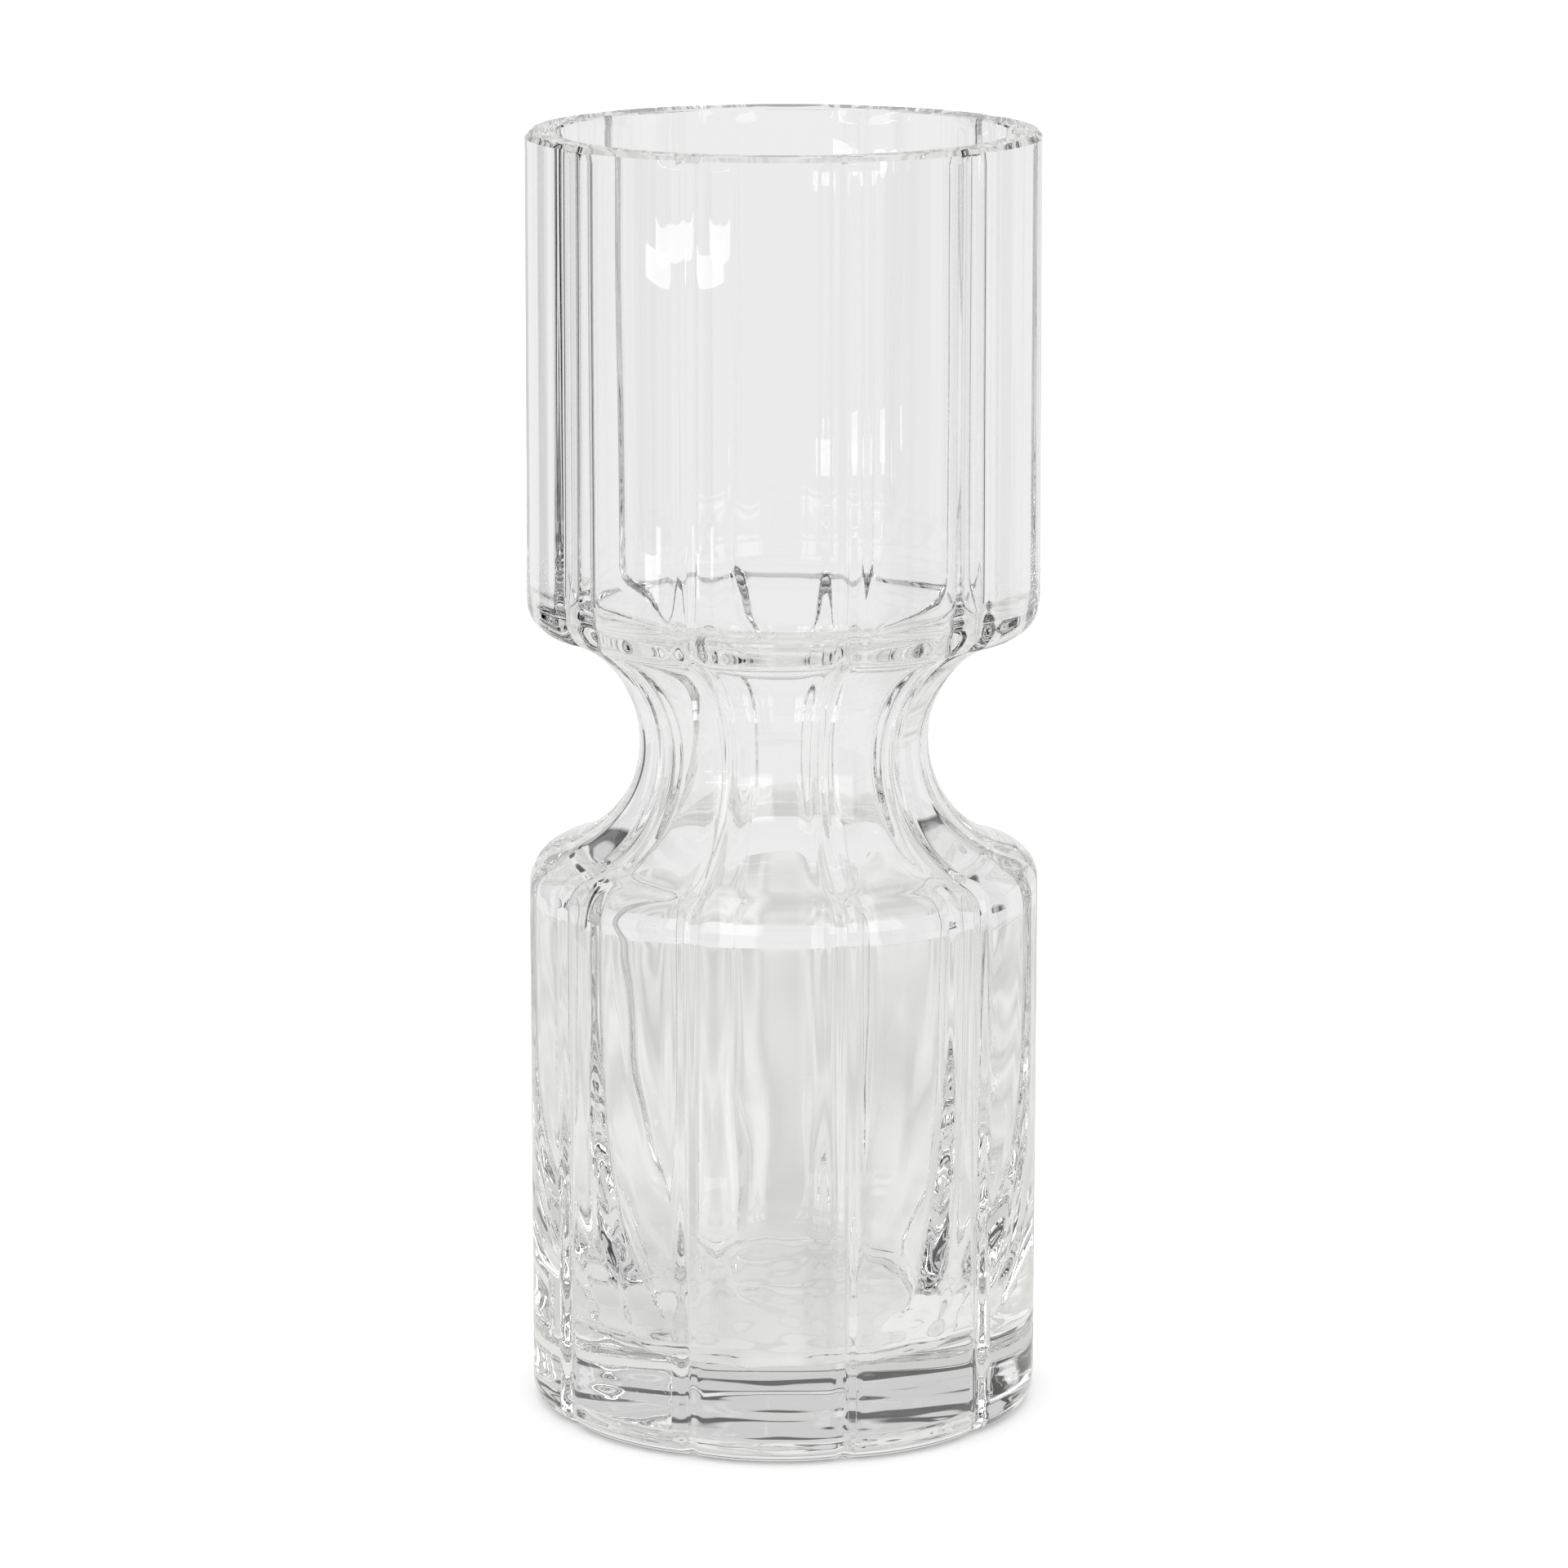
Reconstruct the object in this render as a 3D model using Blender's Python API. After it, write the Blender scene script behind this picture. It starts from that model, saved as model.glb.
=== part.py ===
"""Hourglass flower vase: one body of thick mould-blown clear glass.

An upper cup, a narrow open neck and a lower reservoir with a heavy base,
all one piece, with ten soft vertical grooves down the outside.
Metres, +Z up. The origin is the centre of the base, on the table.
"""
import math

import bmesh
import bpy

# Outside
HEIGHT = 0.300
RIM_RADIUS = 0.0594
BODY_RADIUS = 0.0600
RIM_BEVEL = 0.0012
NECK_RADIUS = 0.0340
NECK_HEIGHT = 0.1582
WAIST_ARC = 0.0273
CORNER_ARC = 0.0074
HEEL_ARC = 0.0045

# Foot: a flat ring round a shallow hollow with a moulding mark in its middle
FOOT_INNER_RADIUS = 0.0460
HOLLOW_DEPTH = 0.0015
MARK_RADIUS = 0.0120
MARK_DEPTH = 0.0005

# Grooves, and the pillow-shaped panels between them
GROOVE_COUNT = 10
FIRST_GROOVE = math.radians(14.0)
PANEL_DROP = 0.0007
GROOVE_DEPTH = 0.0009
GROOVE_HALF_ANGLE = math.radians(3.0)
PANEL_SHOULDER_ANGLE = math.radians(7.0)

# Inside
MOUTH_RADIUS = 0.0520
MOUTH_BEVEL = 0.0006
BORE_RADIUS = 0.0280
CUP_CORNER_ARC = 0.0090
RESERVOIR_RADIUS = 0.0500
RESERVOIR_CORNER_ARC = 0.0110
FLOOR_HEIGHT = 0.0175
FLOOR_WALL_RADIUS = 0.0365
FLOOR_CORNER_ARC = 0.0070
FLOOR_DISH = 0.0008
WALL_TAPER_POWER = 3.0
CAVITY_STEPS = 40
CUT_OVERRUN = 0.0100


def clear_scene():
    """Remove every object of the scene."""
    for item in list(bpy.data.objects):
        bpy.data.objects.remove(item, do_unlink=True)


def clear_glass():
    """Clear soda-lime glass."""
    material = bpy.data.materials.new("clear_glass")
    material.use_nodes = True
    shader = material.node_tree.nodes["Principled BSDF"]
    shader.inputs["Base Color"].default_value = (0.95, 0.97, 0.96, 1.0)
    shader.inputs["Roughness"].default_value = 0.02
    shader.inputs["Metallic"].default_value = 0.0
    shader.inputs["IOR"].default_value = 1.5
    shader.inputs["Transmission Weight"].default_value = 1.0
    return material


def arc(centre, radius, start, end, steps):
    """Points (r, z, normal_r, normal_z) on an arc from start to end, in degrees."""
    points = []
    for step in range(steps + 1):
        angle = math.radians(start + (end - start) * step / steps)
        across = math.cos(angle)
        along = math.sin(angle)
        points.append((centre[0] + radius * across, centre[1] + radius * along, across, along))
    return points


def waist(wall_above, wall_below, neck, hollow_arc, corner_above, corner_below):
    """Profile from the wall above, in to the neck and out to the wall below.

    One arc makes the whole waist. A round corner joins it to each wall.
    Returns the points and the heights where the two walls start.
    """
    hollow_r = neck + hollow_arc
    points = []

    reach = hollow_r - (wall_above - corner_above)
    rise = math.sqrt((hollow_arc + corner_above) ** 2 - reach ** 2)
    upper = (wall_above - corner_above, NECK_HEIGHT + rise)
    turn = math.degrees(math.atan2(-rise, reach))
    points += arc(upper, corner_above, 0.0, turn, 5)
    hollow_start = turn + 180.0

    reach = hollow_r - (wall_below - corner_below)
    drop = math.sqrt((hollow_arc + corner_below) ** 2 - reach ** 2)
    lower = (wall_below - corner_below, NECK_HEIGHT - drop)
    turn = math.degrees(math.atan2(drop, reach))
    hollow = arc((hollow_r, NECK_HEIGHT), hollow_arc, hollow_start, 180.0 + turn, 10)
    points += [(r, z, -normal_r, -normal_z) for r, z, normal_r, normal_z in hollow[1:-1]]
    points += arc(lower, corner_below, turn, 0.0, 5)
    return points, upper[1], lower[1]


def outer_profile():
    """The outside from the rim's flat edge down to the foot: (r, z, push_r, push_z).

    The push is the direction and strength in which a groove is pressed in.
    """
    points = [(RIM_RADIUS - RIM_BEVEL, HEIGHT, 0.5, 0.0)]
    points.append((RIM_RADIUS, HEIGHT - RIM_BEVEL, 1.0, 0.0))
    curve, cup_end, body_start = waist(
        BODY_RADIUS, BODY_RADIUS, NECK_RADIUS, WAIST_ARC, CORNER_ARC, CORNER_ARC)
    for share in (1 / 3, 2 / 3):
        height = HEIGHT - RIM_BEVEL + (cup_end - HEIGHT + RIM_BEVEL) * share
        points.append((RIM_RADIUS + (BODY_RADIUS - RIM_RADIUS) * share, height, 1.0, 0.0))
    points += curve
    for share in (1 / 3, 2 / 3):
        height = body_start + (HEEL_ARC - body_start) * share
        points.append((BODY_RADIUS, height, 1.0, 0.0))
    for r, z, normal_r, normal_z in arc((BODY_RADIUS - HEEL_ARC, HEEL_ARC), HEEL_ARC, 0.0, -90.0, 5):
        fade = math.sqrt(max(normal_r, 0.0))
        points.append((r, max(z, 0.0), normal_r * fade, normal_z * fade))
    return points


def underside_profile():
    """Foot ring, shallow hollow and moulding mark, as (r, z) from the outside in."""
    return [
        (FOOT_INNER_RADIUS, 0.0),
        (FOOT_INNER_RADIUS - 0.0030, HOLLOW_DEPTH * 0.6),
        (FOOT_INNER_RADIUS * 0.6, HOLLOW_DEPTH),
        (MARK_RADIUS, HOLLOW_DEPTH),
        (MARK_RADIUS - 0.0008, HOLLOW_DEPTH + MARK_DEPTH),
    ]


def column_angles():
    """Angles round the axis, from -Y towards +X, close together at each groove.

    Each comes with its angle from the nearest groove's middle.
    """
    panel = 2.0 * math.pi / GROOVE_COUNT
    away = [0.0, GROOVE_HALF_ANGLE * 0.5, GROOVE_HALF_ANGLE, PANEL_SHOULDER_ANGLE, panel * 0.5]
    offsets = [(offset, offset) for offset in away]
    offsets += [(panel - offset, offset) for offset in away[-2:0:-1]]
    return [(FIRST_GROOVE + panel * k + turn, offset) for k in range(GROOVE_COUNT) for turn, offset in offsets]


def groove_depth(offset):
    """Depth at an angle from the groove's middle: a rounded valley between two pillow-shaped panels."""
    pillow = (1.0 - offset * GROOVE_COUNT / math.pi) ** 3
    valley = 0.5 + 0.5 * math.cos(math.pi * min(offset / GROOVE_HALF_ANGLE, 1.0))
    return PANEL_DROP * pillow + GROOVE_DEPTH * valley


def add_ring(mesh, columns, r, z, push_r, push_z):
    """Add one ring of vertices, pressed in at the grooves."""
    ring = []
    for angle, offset in columns:
        depth = groove_depth(offset)
        radius = r - depth * push_r
        place = (radius * math.sin(angle), -radius * math.cos(angle), z - depth * push_z)
        ring.append(mesh.verts.new(place))
    return ring


def grooved_solid():
    """The whole outside of the vase as one closed solid, before it is hollowed."""
    columns = column_angles()
    mesh = bmesh.new()
    rings = [add_ring(mesh, columns, *point) for point in outer_profile()]
    rings += [add_ring(mesh, columns, r, z, 0.0, 0.0) for r, z in underside_profile()]
    count = len(columns)
    for above, below in zip(rings[:-1], rings[1:]):
        for k in range(count):
            after = (k + 1) % count
            mesh.faces.new((above[k], below[k], below[after], above[after]))
    mesh.faces.new(rings[0])
    mesh.faces.new(list(reversed(rings[-1])))
    bmesh.ops.recalc_face_normals(mesh, faces=mesh.faces)
    data = bpy.data.meshes.new("glass_body")
    mesh.to_mesh(data)
    mesh.free()
    body = bpy.data.objects.new("glass_body", data)
    bpy.context.collection.objects.link(body)
    return body


def cavity_profile():
    """The inside as (r, z), from above the mouth down to the middle of the floor."""
    points = [(0.0, HEIGHT + CUT_OVERRUN)]
    points.append((MOUTH_RADIUS + MOUTH_BEVEL + CUT_OVERRUN, HEIGHT + CUT_OVERRUN))
    points.append((MOUTH_RADIUS, HEIGHT - MOUTH_BEVEL))
    hollow_arc = NECK_RADIUS + WAIST_ARC - BORE_RADIUS
    curve, _, wall_top = waist(MOUTH_RADIUS, RESERVOIR_RADIUS, BORE_RADIUS, hollow_arc,
                               CUP_CORNER_ARC, RESERVOIR_CORNER_ARC)
    points += [(r, z) for r, z, _, _ in curve]
    wall_foot = FLOOR_HEIGHT + FLOOR_CORNER_ARC
    for step in range(1, 6):
        share = step / 5
        height = wall_top + (wall_foot - wall_top) * share
        radius = RESERVOIR_RADIUS - (RESERVOIR_RADIUS - FLOOR_WALL_RADIUS) * share ** WALL_TAPER_POWER
        points.append((radius, height))
    corner = (FLOOR_WALL_RADIUS - FLOOR_CORNER_ARC, wall_foot)
    points += [(r, z) for r, z, _, _ in arc(corner, FLOOR_CORNER_ARC, 0.0, -85.0, 4)[1:]]
    points.append((0.0, FLOOR_HEIGHT - FLOOR_DISH))
    return points


def cavity_cutter():
    """The hollow of cup, neck and reservoir, turned round the axis."""
    data = bpy.data.meshes.new("cavity_cutter")
    profile = cavity_profile()
    edges = [(k, k + 1) for k in range(len(profile) - 1)]
    data.from_pydata([(r, 0.0, z) for r, z in profile], edges, [])
    cutter = bpy.data.objects.new("cavity_cutter", data)
    bpy.context.collection.objects.link(cutter)
    turn = cutter.modifiers.new("turn", "SCREW")
    turn.angle = 2.0 * math.pi
    turn.steps = CAVITY_STEPS
    turn.render_steps = CAVITY_STEPS
    turn.use_merge_vertices = True
    turn.merge_threshold = 0.00001
    turn.use_smooth_shade = True
    cutter.hide_render = True
    cutter.display_type = "WIRE"
    return cutter


def build():
    """Blow the vase: the grooved outside, less the smooth hollow."""
    clear_scene()
    body = grooved_solid()
    body.data.materials.append(clear_glass())
    hollow = body.modifiers.new("hollow", "BOOLEAN")
    hollow.operation = "DIFFERENCE"
    hollow.solver = "EXACT"
    hollow.object = cavity_cutter()
    body.data.shade_smooth()
    body.data.set_sharp_from_angle(angle=math.radians(35.0))


build()
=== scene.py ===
"""Looks of the hourglass flower vase: thick clear glass, blown in a grooved mould.

One continuous mesh stands for the CAD body. Its outside follows the mould, with ten pressed
grooves. Its inside is free-blown, with a soft ridge behind each groove, slow waves and ripples.
"""
import math

import bpy
import numpy as np
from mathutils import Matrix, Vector, noise


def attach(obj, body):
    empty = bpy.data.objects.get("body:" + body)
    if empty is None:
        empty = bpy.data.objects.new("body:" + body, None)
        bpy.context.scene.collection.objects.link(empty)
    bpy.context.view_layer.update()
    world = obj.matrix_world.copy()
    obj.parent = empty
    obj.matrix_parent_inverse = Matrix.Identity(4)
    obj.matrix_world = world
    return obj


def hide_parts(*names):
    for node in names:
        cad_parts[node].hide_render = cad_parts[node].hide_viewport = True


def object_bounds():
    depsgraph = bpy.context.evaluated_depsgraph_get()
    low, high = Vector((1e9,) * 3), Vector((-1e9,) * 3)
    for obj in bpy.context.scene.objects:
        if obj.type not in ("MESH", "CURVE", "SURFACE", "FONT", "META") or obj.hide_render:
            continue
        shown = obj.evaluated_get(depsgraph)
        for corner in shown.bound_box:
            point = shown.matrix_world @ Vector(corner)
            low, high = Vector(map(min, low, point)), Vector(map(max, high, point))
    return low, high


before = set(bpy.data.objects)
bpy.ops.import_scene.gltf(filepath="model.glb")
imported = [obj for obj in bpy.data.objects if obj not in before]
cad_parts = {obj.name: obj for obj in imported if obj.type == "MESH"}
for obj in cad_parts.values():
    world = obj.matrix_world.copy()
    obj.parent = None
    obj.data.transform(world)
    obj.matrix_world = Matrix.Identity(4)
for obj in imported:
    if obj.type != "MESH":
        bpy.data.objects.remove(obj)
CAD_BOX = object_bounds()

# Sizes in metres: the height and the widest radius come from the frame's box, and the rest
# repeats the CAD's own dimensions, but the grooves are 0.1 mm deeper than in CAD
HEIGHT = CAD_BOX[1].z
BOX_CLEARANCE = 0.00001
BODY_RADIUS = (CAD_BOX[1].y - CAD_BOX[0].y) / 2 - BOX_CLEARANCE
RIM_RADIUS = 0.0594
RIM_BEVEL = 0.0012
NECK_RADIUS = 0.0340
NECK_HEIGHT = 0.1582
WAIST_ARC = 0.0273
CORNER_ARC = 0.0074
HEEL_ARC = 0.0045
FOOT_INNER_RADIUS = 0.0460
HOLLOW_DEPTH = 0.0015
MARK_RADIUS = 0.0120
MARK_DEPTH = 0.0005
GROOVE_COUNT = 10
FIRST_GROOVE = math.radians(14.0)
PANEL_DROP = 0.0007
GROOVE_DEPTH = 0.0010
GROOVE_HALF_ANGLE = math.radians(3.0)
# On the cup each groove has its own share of that depth
GROOVE_SHARES_AT_RIM = (0.5, 1.0, 1.0, 1.0, 0.5, 0.5, 1.0, 1.1, 1.1, 0.9)
GROOVE_SHARES_UNDER_CUP = (0.7, 1.0, 1.0, 1.0, 0.95, 0.8, 0.9, 1.1, 1.1, 0.9)
UNDER_CUP = 0.2000
MOUTH_RADIUS = 0.0520
MOUTH_BEVEL = 0.0006
BORE_RADIUS = 0.0280
CUP_CORNER_ARC = 0.0090
RESERVOIR_RADIUS = 0.0500
RESERVOIR_CORNER_ARC = 0.0110
FLOOR_HEIGHT = 0.0175
FLOOR_WALL_RADIUS = 0.0365
FLOOR_CORNER_ARC = 0.0070
FLOOR_DISH = 0.0008
WALL_TAPER_POWER = 3.0

# Fineness of the visual mesh
HALF_PANEL_COLUMNS = 14
COLUMN_CROWDING = 1.5
OUTSIDE_STEP = 0.0080
BEND_STEP = 0.0013
INSIDE_STEP = 0.0017
UNDERSIDE_STEP = 0.0020
RIM_FLAT = 0.0008
RIM_BEVEL_STEP = 0.0004
HEEL_STEP = 0.0005
MOUTH_STEP = 0.0003
FLOOR_STEP = 0.0015
MIDDLE_RADIUS = 0.002
HOLLOW_EDGE = 0.006
MARK_EDGE = 0.003
SHARP_ANGLE = math.radians(30.0)

# Unevenness of blown glass, as depths in metres
OUTSIDE_WAVE = 0.00010
INSIDE_WAVE = 0.00090
INSIDE_RIDGE = 0.00110
RIDGE_HALF_ANGLE = math.radians(9.5)
INSIDE_RIPPLE = 0.00040
UNDERSIDE_WAVE = 0.0007
# The inside's ripples and waves as shares of their depth, by height
SHARE_HEIGHTS = (0.020, 0.032, 0.050, 0.120, 0.180)
RIPPLE_SHARES = (4.0, 2.0, 1.0, 0.6, 0.0)
WAVE_SHARES = (1.0, 1.0, 1.0, 1.0, 0.3)
# Each one's bumps: size round the ring, size up the wall, seed, octaves
OUTSIDE_WAVE_BUMPS = (0.025, 0.060, 3.0, 1)
UNDERSIDE_WAVE_BUMPS = (0.018, 0.018, 7.0, 2)
INSIDE_WAVE_BUMPS = (0.022, 0.060, 11.0, 1)
INSIDE_RIPPLE_BUMPS = (0.009, 0.022, 29.0, 1)

# Glass
GLASS_IOR = 1.5
GLASS_TINT = (0.88, 0.89, 0.88, 1.0)
GLASS_TINT_DENSITY = 4.0
GRAIN_SCALE = 60.0
GREATEST_ROUGHNESS = 0.006

# Studio: brightness by azimuth from +Y towards +X, or by elevation, as (degrees, brightness).
# Only rays that come through or off the glass see it
TABLE_HALF_WIDTH = 0.50
TABLE_FRONT = -0.22
TABLE_BACK = 0.47
# Painted glow of the table top, seen only through the glass: an emission from a dim to a bright pale grey
# in soft streaks, standing in for light on the table
TABLE_GLOW_DIM = (0.64, 0.64, 0.625, 1.0)
TABLE_GLOW_BRIGHT = (0.87, 0.87, 0.85, 1.0)
TABLE_GLOW_STREAKS = (30.0, 3.0, 1.0)
CEILING = 0.8
CEILING_START = math.radians(45.0)
CEILING_FULL = math.radians(60.0)
SOFTBOX = 2.6
SOFTBOX_AZIMUTHS = [
    (-180.0, 0.0), (-171.0, 0.0), (-169.0, 1.0), (-135.0, 1.0), (-133.0, 0.0), (126.0, 0.0), (128.0, 1.0),
    (151.0, 1.0), (153.0, 0.0), (180.0, 0.0),
]
SOFTBOX_ELEVATIONS = [(-90.0, 0.0), (-4.0, 0.0), (-2.0, 1.0), (34.0, 1.0), (38.0, 0.0), (90.0, 0.0)]
# What the camera and diffuse surfaces see instead
WHITE = 1.4
# Two light strips: azimuth from -Y towards +X, height, width and tallness
STRIP_GLOW = 3.6
STRIP_DISTANCE = 0.70
STRIPS = {"upper_strip": (-43.0, 0.196, 0.37, 0.011), "lower_strip": (-54.0, 0.092, 0.11, 0.016)}
WALL_BRIGHTNESS = [
    (-180.0, 0.68), (-128.0, 0.68), (-126.0, 0.02), (-114.0, 0.02), (-112.0, 0.76), (-78.0, 0.78),
    (-76.0, 0.0), (-64.0, 0.0), (-62.0, 0.78), (-56.0, 0.78), (-55.0, 0.0), (-41.0, 0.0), (-40.0, 0.87),
    (45.0, 0.87), (62.0, 0.78), (64.0, 0.03), (73.0, 0.03), (75.0, 0.78), (112.0, 0.76), (114.0, 0.02),
    (124.0, 0.02), (126.0, 0.68), (180.0, 0.68),
]
TIER_BRIGHTNESS = [
    (-90.0, 0.05), (-38.0, 0.05), (-32.0, 1.0), (11.0, 1.0), (11.5, 0.12), (15.5, 0.12),
    (16.5, 0.72), (90.0, 0.9),
]

# Photograph's camera
CAMERA_DISTANCE = 1.3693
CAMERA_AIM = 0.1471
CAMERA_TILT = math.radians(12.35)
CAMERA_LENS = 134.5

# Walls of glass that light may cross
MOST_BOUNCES = 24
MOST_REFLECTIONS = 12


def arc(centre, radius, start, end, step):
    """Points (r, z, normal_r, normal_z) on an arc from start to end, in degrees."""
    count = max(3, math.ceil(abs(math.radians(end - start)) * radius / step))
    angles = np.radians(np.linspace(start, end, count + 1))
    across = np.cos(angles)
    along = np.sin(angles)
    return np.stack([centre[0] + radius * across, centre[1] + radius * along, across, along], 1)


def line(start, end, step, normal=(1.0, 0.0)):
    """Points between two (r, z) points, with one normal, without the first point."""
    start = np.array(start)
    end = np.array(end)
    count = max(1, math.ceil(np.hypot(*(end - start)) / step))
    share = (np.arange(1, count + 1) / count)[:, None]
    return np.hstack([start + (end - start) * share, np.tile(normal, (count, 1))])


def waist(wall_above, wall_below, neck, hollow_arc, corner_above, corner_below, step):
    """Profile from the wall above, in to the neck and out to the wall below."""
    hollow_r = neck + hollow_arc
    reach = hollow_r - (wall_above - corner_above)
    rise = math.sqrt((hollow_arc + corner_above) ** 2 - reach ** 2)
    upper = (wall_above - corner_above, NECK_HEIGHT + rise)
    turn_in = math.degrees(math.atan2(-rise, reach))
    reach = hollow_r - (wall_below - corner_below)
    drop = math.sqrt((hollow_arc + corner_below) ** 2 - reach ** 2)
    lower = (wall_below - corner_below, NECK_HEIGHT - drop)
    turn_out = math.degrees(math.atan2(drop, reach))
    hollow = arc((hollow_r, NECK_HEIGHT), hollow_arc, turn_in + 180.0, turn_out + 180.0, step)
    hollow[:, 2:] *= -1.0
    return np.vstack([
        arc(upper, corner_above, 0.0, turn_in, step),
        hollow[1:-1],
        arc(lower, corner_below, turn_out, 0.0, step),
    ])


def smooth(share):
    """Ease from 0 to 1 without a corner at either end."""
    return share * share * (3.0 - 2.0 * share)


def outside():
    """Outer profile, top to bottom: (r, z, normal_r, normal_z), from the rim's flat to the foot ring."""
    curve = waist(BODY_RADIUS, BODY_RADIUS, NECK_RADIUS, WAIST_ARC, CORNER_ARC, CORNER_ARC, BEND_STEP)
    rim_edge = (RIM_RADIUS - RIM_BEVEL, HEIGHT)
    rim_wall = (RIM_RADIUS, HEIGHT - RIM_BEVEL)
    heel_centre = (BODY_RADIUS - HEEL_ARC, HEEL_ARC)
    return np.vstack([
        line((rim_edge[0] - RIM_FLAT, HEIGHT), rim_edge, RIM_FLAT, (0.5, 0.0)),
        line(rim_edge, rim_wall, RIM_BEVEL_STEP),
        line(rim_wall, curve[0, :2], OUTSIDE_STEP),
        curve[1:],
        line(curve[-1, :2], (BODY_RADIUS, HEEL_ARC), OUTSIDE_STEP),
        arc(heel_centre, HEEL_ARC, 0.0, -90.0, HEEL_STEP)[1:],
    ])


def underside():
    """Foot ring, shallow hollow and soft moulding mark, from the outside in to the middle."""
    start = BODY_RADIUS - HEEL_ARC
    count = math.ceil(start / UNDERSIDE_STEP)
    radius = np.linspace(start, MIDDLE_RADIUS, count)
    hollow = np.clip((FOOT_INNER_RADIUS - radius) / HOLLOW_EDGE, 0.0, 1.0)
    mark = np.clip((MARK_RADIUS + MARK_EDGE - radius) / MARK_EDGE, 0.0, 1.0)
    height = HOLLOW_DEPTH * smooth(hollow) + MARK_DEPTH * smooth(mark)
    return np.stack([radius, height, np.zeros(count), smooth(hollow)], 1)


def inside():
    """Inner profile from the mouth's bevel down to the middle of the floor."""
    hollow_arc = NECK_RADIUS + WAIST_ARC - BORE_RADIUS
    curve = waist(MOUTH_RADIUS, RESERVOIR_RADIUS, BORE_RADIUS, hollow_arc,
                  CUP_CORNER_ARC, RESERVOIR_CORNER_ARC, INSIDE_STEP)
    mouth = (MOUTH_RADIUS + MOUTH_BEVEL, HEIGHT)
    wall = (MOUTH_RADIUS, HEIGHT - MOUTH_BEVEL)
    top = curve[-1, 1]
    foot = FLOOR_HEIGHT + FLOOR_CORNER_ARC
    share = np.linspace(0.0, 1.0, math.ceil((top - foot) / INSIDE_STEP) + 1)[1:]
    taper = np.stack([
        RESERVOIR_RADIUS - (RESERVOIR_RADIUS - FLOOR_WALL_RADIUS) * share ** WALL_TAPER_POWER,
        top + (foot - top) * share,
        np.ones_like(share),
        np.zeros_like(share),
    ], 1)
    corner = (FLOOR_WALL_RADIUS - FLOOR_CORNER_ARC, foot)
    bend = arc(corner, FLOOR_CORNER_ARC, 0.0, -85.0, INSIDE_STEP)[1:]
    middle = (MIDDLE_RADIUS, FLOOR_HEIGHT - FLOOR_DISH)
    floor = line(bend[-1, :2], middle, FLOOR_STEP, (0.0, -1.0))
    return np.vstack([
        line(mouth, wall, MOUTH_STEP, (0.0, 0.0)),
        line(wall, curve[0, :2], INSIDE_STEP),
        curve[1:],
        taper,
        bend,
        floor,
    ])


def columns():
    """Angles round the axis, crowded at each groove, and each one's angle from that groove."""
    panel = 2.0 * math.pi / GROOVE_COUNT
    away = panel / 2.0 * (np.arange(HALF_PANEL_COLUMNS + 1) / HALF_PANEL_COLUMNS) ** COLUMN_CROWDING
    mirrored = away[-2:0:-1]
    offsets = np.concatenate([away, panel - mirrored])
    angles = FIRST_GROOVE + panel * np.arange(GROOVE_COUNT)[:, None] + offsets[None]
    return angles.ravel(), np.tile(np.concatenate([away, mirrored]), GROOVE_COUNT)


def groove_shares(height):
    """How deep each groove is at a height, as a share: they run out unevenly towards the rim."""
    up = np.clip((height - UNDER_CUP) / (HEIGHT - UNDER_CUP), 0.0, 1.0)
    under = np.array(GROOVE_SHARES_UNDER_CUP) if height > UNDER_CUP else np.ones(GROOVE_COUNT)
    return under + (np.array(GROOVE_SHARES_AT_RIM) - under) * up


def groove(away, height):
    """How deep the mould presses the wall in, by angle from a groove's middle, for one ring.

    Each panel is a pillow, which falls away towards its two grooves, and each groove is a rounded
    valley between them.
    """
    pillow = (1.0 - away * GROOVE_COUNT / math.pi) ** 3
    valley = 0.5 + 0.5 * np.cos(np.pi * np.minimum(away / GROOVE_HALF_ANGLE, 1.0))
    half = HALF_PANEL_COLUMNS
    shares = np.roll(np.repeat(groove_shares(height), 2 * half), -half)
    return PANEL_DROP * pillow + GROOVE_DEPTH * valley * shares


def unevenness(radius, height, angles, bumps):
    """Smooth noise from about -0.5 to 0.5 on a turned surface, for one ring."""
    across, along, seed, octaves = bumps
    values = np.empty(len(angles))
    up = height / along
    for k, angle in enumerate(angles):
        place = Vector((radius * math.cos(angle) / across, radius * math.sin(angle) / across, up + seed))
        values[k] = noise.fractal(place, 1.0, 2.0, octaves)
    return 0.5 * values


def ring_places(point, angles, depth):
    """Places of one ring, pressed in by depth along the profile's normal."""
    r, z, normal_r, normal_z = point
    radius = r - depth * normal_r
    return np.stack([radius * np.sin(angles), -radius * np.cos(angles), z - depth * normal_z], 1)


def outside_rings(angles, away):
    """Rings of the outside: the mould's grooves, and very slow waves."""
    rings = []
    for point in outside():
        pressed = groove(away, point[1])
        fade = 1.0 if point[1] > HEEL_ARC else math.sqrt(max(point[2], 0.0))
        wave = OUTSIDE_WAVE * (0.5 + unevenness(point[0], point[1], angles, OUTSIDE_WAVE_BUMPS))
        rings.append(ring_places(point, angles, pressed * fade + wave))
    return rings


def underside_rings(angles):
    """Rings of the underside: flat where it stands, wavy in the hollow."""
    rings = []
    for point in underside():
        wave = UNDERSIDE_WAVE * (0.5 + unevenness(point[0], point[1], angles, UNDERSIDE_WAVE_BUMPS))
        rings.append(ring_places(point, angles, -wave))
    return rings


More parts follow.
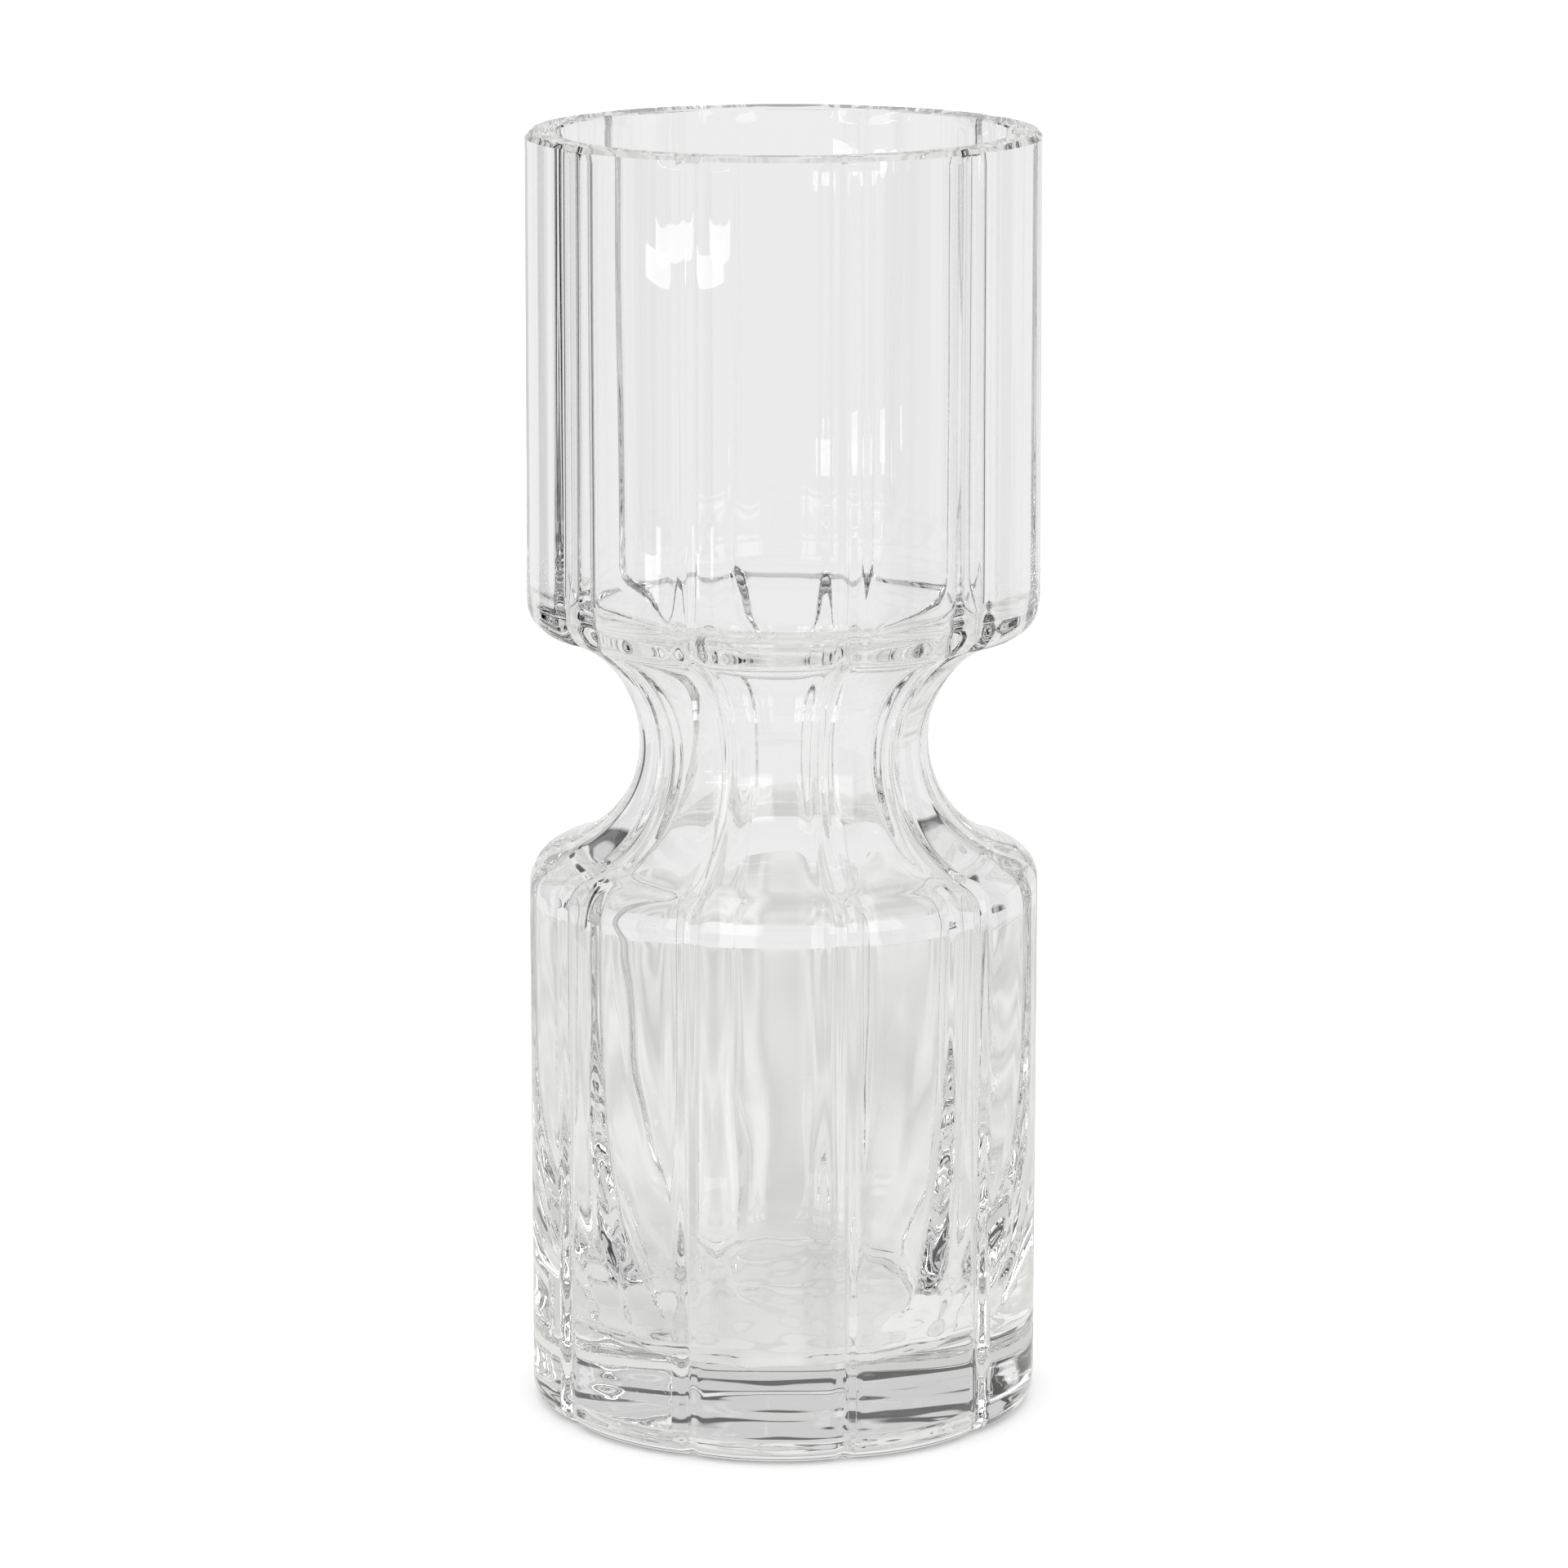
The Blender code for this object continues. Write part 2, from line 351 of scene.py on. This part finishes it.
def inside_rings(angles, away):
    """Rings of the inside: a low ridge behind each groove, long upright waves, and short ripples."""
    rings = []
    ridge = INSIDE_RIDGE * (0.5 + 0.5 * np.cos(np.pi * np.minimum(away / RIDGE_HALF_ANGLE, 1.0)))
    for point in inside():
        wave = INSIDE_WAVE * np.interp(point[1], SHARE_HEIGHTS, WAVE_SHARES)
        wave = wave * unevenness(point[0], point[1], angles, INSIDE_WAVE_BUMPS)
        ripple = INSIDE_RIPPLE * np.interp(point[1], SHARE_HEIGHTS, RIPPLE_SHARES)
        ripple = ripple * unevenness(point[0], point[1], angles, INSIDE_RIPPLE_BUMPS)
        rings.append(ring_places(point, angles, wave + ripple + ridge * abs(point[2])))
    return rings


def glass_mesh():
    """One closed surface: underside, outside, rim, inside and floor."""
    angles, away = columns()
    count = len(angles)
    rings = underside_rings(angles)[::-1] + outside_rings(angles, away)[::-1] + inside_rings(angles, away)
    middles = [rings[0].mean(0, keepdims=True), rings[-1].mean(0, keepdims=True)]
    places = np.vstack(rings + middles)
    under = len(places) - 2
    floor = len(places) - 1
    faces = []
    for row in range(len(rings) - 1):
        for k in range(count):
            after = (k + 1) % count
            low = row * count
            high = low + count
            faces.append((low + k, low + after, high + after, high + k))
    last = (len(rings) - 1) * count
    for k in range(count):
        after = (k + 1) % count
        faces.append((under, after, k))
        faces.append((floor, last + k, last + after))
    mesh = bpy.data.meshes.new("blown_glass")
    mesh.from_pydata(places.tolist(), [], faces)
    mesh.update()
    mesh.shade_smooth()
    mesh.set_sharp_from_angle(angle=SHARP_ANGLE)
    return mesh


def clear_glass():
    """Colourless glass with a polished skin that is very slightly uneven."""
    material = bpy.data.materials.new("clear_glass_look")
    material.use_nodes = True
    tree = material.node_tree
    shader = tree.nodes["Principled BSDF"]
    shader.inputs["Base Color"].default_value = (1.0, 1.0, 1.0, 1.0)
    shader.inputs["Transmission Weight"].default_value = 1.0
    shader.inputs["IOR"].default_value = GLASS_IOR
    coordinates = tree.nodes.new("ShaderNodeTexCoord")
    grain = tree.nodes.new("ShaderNodeTexNoise")
    grain.inputs["Scale"].default_value = GRAIN_SCALE
    grain.inputs["Detail"].default_value = 2.0
    tree.links.new(coordinates.outputs["Object"], grain.inputs["Vector"])
    polish = tree.nodes.new("ShaderNodeMapRange")
    polish.inputs["From Min"].default_value = 0.4
    polish.inputs["From Max"].default_value = 0.8
    polish.inputs["To Min"].default_value = 0.0
    polish.inputs["To Max"].default_value = GREATEST_ROUGHNESS
    tree.links.new(grain.outputs["Fac"], polish.inputs["Value"])
    tree.links.new(polish.outputs["Result"], shader.inputs["Roughness"])
    body = tree.nodes.new("ShaderNodeVolumeAbsorption")
    body.inputs["Color"].default_value = GLASS_TINT
    body.inputs["Density"].default_value = GLASS_TINT_DENSITY
    tree.links.new(body.outputs["Volume"], tree.nodes["Material Output"].inputs["Volume"])
    return material


def make_vase():
    """The vase as one piece, in place of the CAD body."""
    piece = bpy.data.objects.new("vase_glass", glass_mesh())
    bpy.context.collection.objects.link(piece)
    piece.data.materials.append(clear_glass())
    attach(piece, "root")
    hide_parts("glass_body")


def seen_straight(tree, *kinds):
    """1 where a ray of one of these kinds arrives, and 0 where it came through or off the glass."""
    path = tree.nodes.new("ShaderNodeLightPath")
    either = tree.nodes.new("ShaderNodeMath")
    either.operation = "MAXIMUM"
    either.inputs[1].default_value = 0.0
    for kind, socket in zip(kinds, either.inputs):
        tree.links.new(path.outputs[kind], socket)
    return either.outputs["Value"]


def make_floor():
    """A plain white table top for the camera. Through the glass it shows a painted glow instead, pale
    grey with soft streaks, standing in for the light the table would get.
    """
    corners = [
        (-TABLE_HALF_WIDTH, TABLE_FRONT, 0.0), (TABLE_HALF_WIDTH, TABLE_FRONT, 0.0),
        (TABLE_HALF_WIDTH, TABLE_BACK, 0.0), (-TABLE_HALF_WIDTH, TABLE_BACK, 0.0),
    ]
    mesh = bpy.data.meshes.new("floor")
    mesh.from_pydata(corners, [], [(0, 1, 2, 3)])
    floor = bpy.data.objects.new("floor", mesh)
    bpy.context.collection.objects.link(floor)
    material = bpy.data.materials.new("floor_white_with_painted_glow")
    material.use_nodes = True
    tree = material.node_tree
    shader = tree.nodes["Principled BSDF"]
    shader.inputs["Base Color"].default_value = (1.0, 1.0, 1.0, 1.0)
    shader.inputs["Roughness"].default_value = 0.9
    shader.inputs["Specular IOR Level"].default_value = 0.0
    # Painted glow: rays that come through the glass see this emission in grey streaks instead of the lit
    # white top
    glow = tree.nodes.new("ShaderNodeEmission")
    patches = tree.nodes.new("ShaderNodeTexNoise")
    patches.inputs["Scale"].default_value = 1.0
    patches.inputs["Detail"].default_value = 1.0
    place = tree.nodes.new("ShaderNodeTexCoord")
    streaks = tree.nodes.new("ShaderNodeMapping")
    streaks.inputs["Scale"].default_value = TABLE_GLOW_STREAKS
    tree.links.new(place.outputs["Object"], streaks.inputs["Vector"])
    tree.links.new(streaks.outputs["Vector"], patches.inputs["Vector"])
    glow_greys = tree.nodes.new("ShaderNodeValToRGB")
    glow_greys.color_ramp.elements[0].position = 0.35
    glow_greys.color_ramp.elements[0].color = TABLE_GLOW_DIM
    glow_greys.color_ramp.elements[1].position = 0.65
    glow_greys.color_ramp.elements[1].color = TABLE_GLOW_BRIGHT
    tree.links.new(patches.outputs["Fac"], glow_greys.inputs["Fac"])
    tree.links.new(glow_greys.outputs["Color"], glow.inputs["Color"])
    choice = tree.nodes.new("ShaderNodeMixShader")
    tree.links.new(seen_straight(tree, "Is Camera Ray"), choice.inputs["Fac"])
    tree.links.new(glow.outputs["Emission"], choice.inputs[1])
    tree.links.new(shader.outputs["BSDF"], choice.inputs[2])
    tree.links.new(choice.outputs["Shader"], tree.nodes["Material Output"].inputs["Surface"])
    floor.data.materials.append(material)


def make_strips():
    """Narrow lights low in front of the vase, at the left, which show as soft marks on the cup."""
    for name, (azimuth, height, width, tall) in STRIPS.items():
        side = width / 2.0
        rise = tall / 2.0
        corners = [(-side, 0.0, -rise), (side, 0.0, -rise), (side, 0.0, rise), (-side, 0.0, rise)]
        mesh = bpy.data.meshes.new(name)
        mesh.from_pydata(corners, [], [(0, 1, 2, 3)])
        strip = bpy.data.objects.new(name, mesh)
        bpy.context.collection.objects.link(strip)
        turn = math.radians(azimuth)
        strip.location = (STRIP_DISTANCE * math.sin(turn), -STRIP_DISTANCE * math.cos(turn), height)
        strip.rotation_euler = (0.0, 0.0, turn)
        strip.visible_camera = False
        material = bpy.data.materials.new(name)
        material.use_nodes = True
        shader = material.node_tree.nodes["Principled BSDF"]
        shader.inputs["Emission Color"].default_value = (1.0, 1.0, 1.0, 1.0)
        shader.inputs["Emission Strength"].default_value = STRIP_GLOW
        mesh.materials.append(material)


def angle_ramp(tree, angle, half_turn, stops):
    """Brightness by an angle in radians, from stops of (degrees, brightness)."""
    share = tree.nodes.new("ShaderNodeMapRange")
    share.inputs["From Min"].default_value = -math.radians(half_turn)
    share.inputs["From Max"].default_value = math.radians(half_turn)
    tree.links.new(angle, share.inputs["Value"])
    ramp = tree.nodes.new("ShaderNodeValToRGB")
    elements = ramp.color_ramp.elements
    while len(elements) > 1:
        elements.remove(elements[-1])
    for number, (degrees, bright) in enumerate(stops):
        place = (degrees / half_turn + 1.0) / 2.0
        stop = elements[0] if number == 0 else elements.new(place)
        stop.position = place
        stop.color = (bright, bright, bright, 1.0)
    tree.links.new(share.outputs["Result"], ramp.inputs["Fac"])
    return ramp.outputs["Color"]


def make_world():
    """White all round for the camera and for diffuse surfaces, and through the glass a studio.

    The studio has a bright wall behind the vase, dimmer ones beside and before it, five narrow
    black screens, a dark band over the walls, darkness steeply below, and two softboxes in front.
    """
    world = bpy.data.worlds.new("studio")
    world.use_nodes = True
    tree = world.node_tree
    nodes = tree.nodes
    links = tree.links
    direction = nodes.new("ShaderNodeTexCoord")
    parts = nodes.new("ShaderNodeSeparateXYZ")
    links.new(direction.outputs["Generated"], parts.inputs["Vector"])
    azimuth = nodes.new("ShaderNodeMath")
    azimuth.operation = "ARCTAN2"
    links.new(parts.outputs["X"], azimuth.inputs[0])
    links.new(parts.outputs["Y"], azimuth.inputs[1])
    elevation = nodes.new("ShaderNodeMath")
    elevation.operation = "ARCSINE"
    links.new(parts.outputs["Z"], elevation.inputs[0])
    walls = nodes.new("ShaderNodeMix")
    walls.data_type = "RGBA"
    walls.blend_type = "MULTIPLY"
    walls.inputs["Factor"].default_value = 1.0
    links.new(angle_ramp(tree, azimuth.outputs["Value"], 180.0, WALL_BRIGHTNESS), walls.inputs["A"])
    links.new(angle_ramp(tree, elevation.outputs["Value"], 90.0, TIER_BRIGHTNESS), walls.inputs["B"])
    ceiling = nodes.new("ShaderNodeMapRange")
    ceiling.inputs["From Min"].default_value = CEILING_START
    ceiling.inputs["From Max"].default_value = CEILING_FULL
    links.new(elevation.outputs["Value"], ceiling.inputs["Value"])
    room = nodes.new("ShaderNodeMix")
    room.data_type = "RGBA"
    links.new(ceiling.outputs["Result"], room.inputs["Factor"])
    links.new(walls.outputs["Result"], room.inputs["A"])
    room.inputs["B"].default_value = (CEILING, CEILING, CEILING, 1.0)
    softbox = nodes.new("ShaderNodeMath")
    softbox.operation = "MULTIPLY"
    links.new(angle_ramp(tree, azimuth.outputs["Value"], 180.0, SOFTBOX_AZIMUTHS), softbox.inputs[0])
    links.new(angle_ramp(tree, elevation.outputs["Value"], 90.0, SOFTBOX_ELEVATIONS), softbox.inputs[1])
    studio = nodes.new("ShaderNodeMix")
    studio.data_type = "RGBA"
    links.new(softbox.outputs["Value"], studio.inputs["Factor"])
    links.new(room.outputs["Result"], studio.inputs["A"])
    studio.inputs["B"].default_value = (SOFTBOX, SOFTBOX, SOFTBOX, 1.0)
    seen = nodes.new("ShaderNodeMix")
    seen.data_type = "RGBA"
    links.new(seen_straight(tree, "Is Camera Ray", "Is Diffuse Ray"), seen.inputs["Factor"])
    links.new(studio.outputs["Result"], seen.inputs["A"])
    seen.inputs["B"].default_value = (WHITE, WHITE, WHITE, 1.0)
    links.new(seen.outputs["Result"], nodes["Background"].inputs["Color"])
    bpy.context.scene.world = world


def make_camera():
    """The photograph's view: a long lens, looking down a little."""
    lens = bpy.data.cameras.new("camera")
    lens.lens = CAMERA_LENS
    lens.sensor_width = 36.0
    lens.clip_start = 0.05
    lens.clip_end = 50.0
    camera = bpy.data.objects.new("camera", lens)
    bpy.context.collection.objects.link(camera)
    away = CAMERA_DISTANCE * math.cos(CAMERA_TILT)
    camera.location = (0.0, -away, CAMERA_AIM + CAMERA_DISTANCE * math.sin(CAMERA_TILT))
    camera.rotation_euler = (math.pi / 2 - CAMERA_TILT, 0.0, 0.0)
    bpy.context.scene.camera = camera


def set_colour_and_bounces():
    """Whites stay white, and light may cross every wall of the glass."""
    scene = bpy.context.scene
    scene.view_settings.view_transform = "Standard"
    scene.cycles.max_bounces = MOST_BOUNCES
    scene.cycles.transmission_bounces = MOST_BOUNCES
    scene.cycles.glossy_bounces = MOST_REFLECTIONS


make_vase()
make_floor()
make_strips()
make_world()
make_camera()
set_colour_and_bounces()
